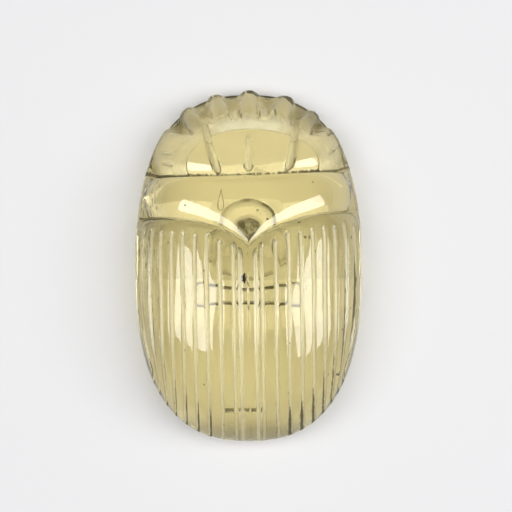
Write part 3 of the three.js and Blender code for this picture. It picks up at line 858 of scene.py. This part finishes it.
grime_and_shade = wire.node("ShaderNodeBsdfPrincipled", values={
    "Base Color": GRIME_AND_SHADE_TINT,
    "Roughness": 0.9 - streaks * 0.1,
})
frosted = layered(matt * (0.8 + grain * 0.3), polished, ground)
# where the carving is most matt it turns chalky pale: frosted stone, and on the band round the head plate a
# painted highlight
frosted = layered(clamped(matt + grain * 0.2 - 0.9, 2.2), frosted, chalk_and_highlight)
# the grime colour: real dirt and weathering, and painted shade in the cuts, on two tooth tips and under the
# head
darkened = clamped(dirt_and_shade + specks * 0.9 - 0.75, 3.0)
pitted = clamped(PIT_REACH - pits, 50.0)
surface = layered(darkened + pitted * 0.7, frosted, grime_and_shade)
inside = wire.node("ShaderNodeVolumeAbsorption", values={"Color": DEPTH_TINT, "Density": DEPTH_DENSITY})
output = tree.nodes.new("ShaderNodeOutputMaterial")
tree.links.new(surface.socket, output.inputs["Surface"])
tree.links.new(inside.socket, output.inputs["Volume"])
mesh.materials.append(material)
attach(stone, "root")
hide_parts("scarab")

# Sealed in the stone: a dark crumb near the seam of the wing cases, and a flaw
# in the thorax, a healed crack of which only the edge shows, as a narrow loop.
CRUMB_PLACE = (-0.62, -2.5, 17.2)
CRUMB_LENGTH = 1.5
CRUMB_RADIUS = 0.24
FLAW_PLACE = (-3.8, 9.2, 15.9)
FLAW_HALF_LENGTH = 1.5
FLAW_HALF_WIDTH = 0.6
FLAW_RADIUS = 0.05


def tube(name, centres, radii, sides, closed):
    """A mesh round a row of centres, each with its radius."""
    turn = np.linspace(0, 2 * math.pi, sides, endpoint=False)
    ways = np.roll(centres, -1, axis=0) - np.roll(centres, 1, axis=0)
    if not closed:
        ways[[0, -1]] = centres[-1] - centres[0]
    ways /= np.linalg.norm(ways, axis=1, keepdims=True)
    side = np.cross(ways, (0, 0, 1))
    side /= np.linalg.norm(side, axis=1, keepdims=True)
    up = np.cross(side, ways)
    around_way = side[:, None] * np.cos(turn)[None, :, None] + up[:, None] * np.sin(turn)[None, :, None]
    rim = centres[:, None] + around_way * radii[:, None, None]
    made = bpy.data.meshes.new(name)
    last = len(centres) if closed else len(centres) - 1
    quads = []
    for i in range(last):
        a, b = i * sides, (i + 1) % len(centres) * sides
        quads += [(a + j, a + (j + 1) % sides, b + (j + 1) % sides, b + j) for j in range(sides)]
    if not closed:
        quads += [tuple(range(sides))[::-1], tuple(range(last * sides, (last + 1) * sides))]
    made.from_pydata((rim.reshape(-1, 3) * MM).tolist(), [], quads)
    piece = bpy.data.objects.new(name, made)
    bpy.context.scene.collection.objects.link(piece)
    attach(piece, "root")
    return piece


t = np.linspace(0, 1, 15)
x, y, z = CRUMB_PLACE
crumb_way = np.stack([x + 0.08 * np.sin(9 * t), y + CRUMB_LENGTH * t, z + 0.05 * np.sin(7 * t)], axis=-1)
crumb_radii = 0.04 + CRUMB_RADIUS * np.sin(math.pi * t) * (1 + 0.4 * np.sin(23 * t))
crumb = tube("sealed_crumb", crumb_way, crumb_radii, 7, False)
t = np.linspace(0, 2 * math.pi, 44, endpoint=False)
x, y, z = FLAW_PLACE
loop_x = x + FLAW_HALF_WIDTH * np.sin(t) * np.sin(t / 2) ** 2
loop = np.stack([loop_x, y + FLAW_HALF_LENGTH * np.cos(t), z + 0.1 * np.sin(t)], axis=-1)
flaw = tube("healed_crack", loop, FLAW_RADIUS + 0.01 * np.sin(5 * t), 5, True)
for piece, dark, light in ((crumb, (0.03, 0.018, 0.02, 1), (0.09, 0.05, 0.05, 1)),
                           (flaw, (0.2, 0.16, 0.07, 1), (0.4, 0.34, 0.18, 1))):
    sealed = bpy.data.materials.new(piece.name)
    sealed.use_nodes = True
    sealed.node_tree.nodes.clear()
    wire = Wire(sealed.node_tree)
    mottle = noise(wire.node("ShaderNodeTexCoord", output="Object"), 4000, 2)
    shade = wire.node("ShaderNodeMix", {"data_type": "RGBA"}, {
        0: mottle, FIRST_COLOUR: dark, SECOND_COLOUR: light,
    }, output=MIXED_COLOUR)
    dull = wire.node("ShaderNodeBsdfPrincipled", values={
        "Base Color": shade,
        "Roughness": 0.6 + mottle * 0.3,
    })
    output = sealed.node_tree.nodes.new("ShaderNodeOutputMaterial")
    sealed.node_tree.links.new(dull.socket, output.inputs["Surface"])
    piece.data.materials.append(sealed)

# The stone lies on a plain pale sheet, which isn't part of the object. A breath
# of air is left under the stone, or no light leaves it.
AIR_GAP = 0.02 * MM
SHEET_HALF = 1
SHEET_COLOUR = (0.8, 0.8, 0.812, 1)
corners = [(-1, -1), (1, -1), (1, 1), (-1, 1)]
table_mesh = bpy.data.meshes.new("table")
table_mesh.from_pydata([(x * SHEET_HALF, y * SHEET_HALF, -AIR_GAP) for x, y in corners], [], [(0, 1, 2, 3)])
table = bpy.data.objects.new("table", table_mesh)
bpy.context.scene.collection.objects.link(table)
paper = bpy.data.materials.new("pale_sheet")
paper.use_nodes = True
paper.node_tree.nodes["Principled BSDF"].inputs["Base Color"].default_value = SHEET_COLOUR
paper.node_tree.nodes["Principled BSDF"].inputs["Roughness"].default_value = 0.9
table_mesh.materials.append(paper)

# A long soft light overhead, which the polish doesn't mirror, dim light from all
# round, and a soft box to each side which is seen only as the bright shapes on
# the polish.
AMBIENT_LIGHT = 0.09


def soft_box(name, width, length, distance, across, back, turn, power):
    """A light in metres and watts, tipped across and back from overhead, facing the stone."""
    light = bpy.data.lights.new(name, "AREA")
    light.shape = "RECTANGLE"
    light.size = width
    light.size_y = length
    light.energy = power
    lamp = bpy.data.objects.new(name, light)
    across, back = math.radians(across), math.radians(back)
    lamp.location = distance * Vector((
        math.sin(across) * math.cos(back), -math.sin(back), math.cos(across) * math.cos(back),
    ))
    lamp.rotation_euler = (-lamp.location).to_track_quat("-Z", "Y").to_euler()
    lamp.rotation_euler.rotate_axis("Z", math.radians(turn))
    bpy.context.scene.collection.objects.link(lamp)
    return lamp


overhead = soft_box(
    "overhead_light", width=0.38, length=1.9, distance=0.8, across=7, back=0, turn=0, power=11.2,
)
overhead.visible_glossy = False
for name, across, turn in (("left_light", -47, -31), ("right_light", 56, 33)):
    box = soft_box(
        name, width=0.25, length=0.36, distance=0.5, across=across, back=11, turn=turn, power=2.2,
    )
    box.visible_diffuse = False
    box.visible_transmission = False
world = bpy.data.worlds.new("studio")
world.use_nodes = True
world.node_tree.nodes["Background"].inputs["Color"].default_value = (1, 1, 1, 1)
world.node_tree.nodes["Background"].inputs["Strength"].default_value = AMBIENT_LIGHT
bpy.context.scene.world = world
bpy.context.scene.view_settings.view_transform = "Standard"

# The camera looks straight down from far enough that the sides hardly show. Its
# frame is as wide as the photograph at the height of the rim.
FRAME_WIDTH = 0.07293
CAMERA_HEIGHT = 0.6
CAMERA_OVER = (0.00107, 0.00135)
view = bpy.data.cameras.new("camera")
view.lens = view.sensor_width * (CAMERA_HEIGHT - RIM_HEIGHT * MM) / FRAME_WIDTH
view.clip_start = 0.01
camera = bpy.data.objects.new("camera", view)
camera.location = (*CAMERA_OVER, CAMERA_HEIGHT)
bpy.context.scene.collection.objects.link(camera)
bpy.context.scene.camera = camera
